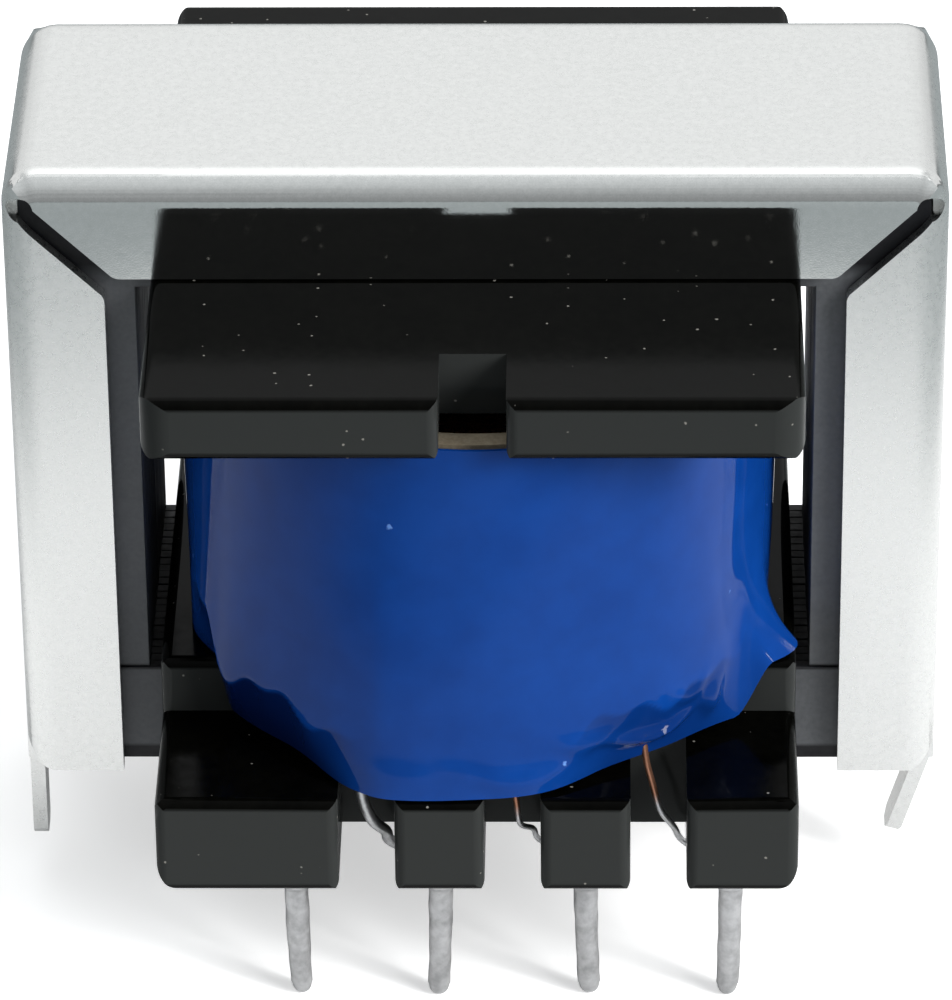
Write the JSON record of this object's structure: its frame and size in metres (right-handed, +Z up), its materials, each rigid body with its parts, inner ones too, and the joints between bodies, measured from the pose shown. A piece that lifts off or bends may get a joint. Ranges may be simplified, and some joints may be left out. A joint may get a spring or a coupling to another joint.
{
  "type": "pcb transformer",
  "caption": "Small laminated-core transformer for a circuit board, with a folded steel shroud, a black bobbin with pinned terminal rails and a taped coil.",
  "frame": {"origin": "under the middle of the part, level with the tips of the pins", "axes": "+Z up, away from the circuit board; X along the pin rows; -Y is the front, seen in the picture; the feet of the rails, which rest on the board, are at z = 0.0041"},
  "size_m": [0.025, 0.0218, 0.0227],
  "materials": {
    "shroud": "satin tinned sheet",
    "core": "dull cut edges of dark sheets",
    "bobbin": "glossy black moulding",
    "copper": "enamelled copper wire",
    "barrier": "translucent insulating film",
    "paper": "dull insulating paper",
    "tape": "creased glossy blue tape",
    "pins": "dull tin",
    "lead": "enamelled wire with tinned ends"
  },
  "bodies": {
    "root": {"shroud": "shroud", "e_core": "core", "i_core": "core", "bobbin": "bobbin", "primary_winding": "copper", "winding_barrier": "barrier", "secondary_winding": "copper", "paper_wrap": "paper", "outer_tape": "tape", "front_pin_1": "pins", "front_pin_2": "pins", "front_pin_3": "pins", "front_pin_4": "pins", "rear_pin_1": "pins", "rear_pin_2": "pins", "rear_pin_3": "pins", "rear_pin_4": "pins", "front_lead_1": "lead", "front_lead_2": "lead", "front_lead_3": "lead", "rear_lead_1": "lead", "rear_lead_2": "lead", "rear_lead_3": "lead"}
  },
  "joints": []
}
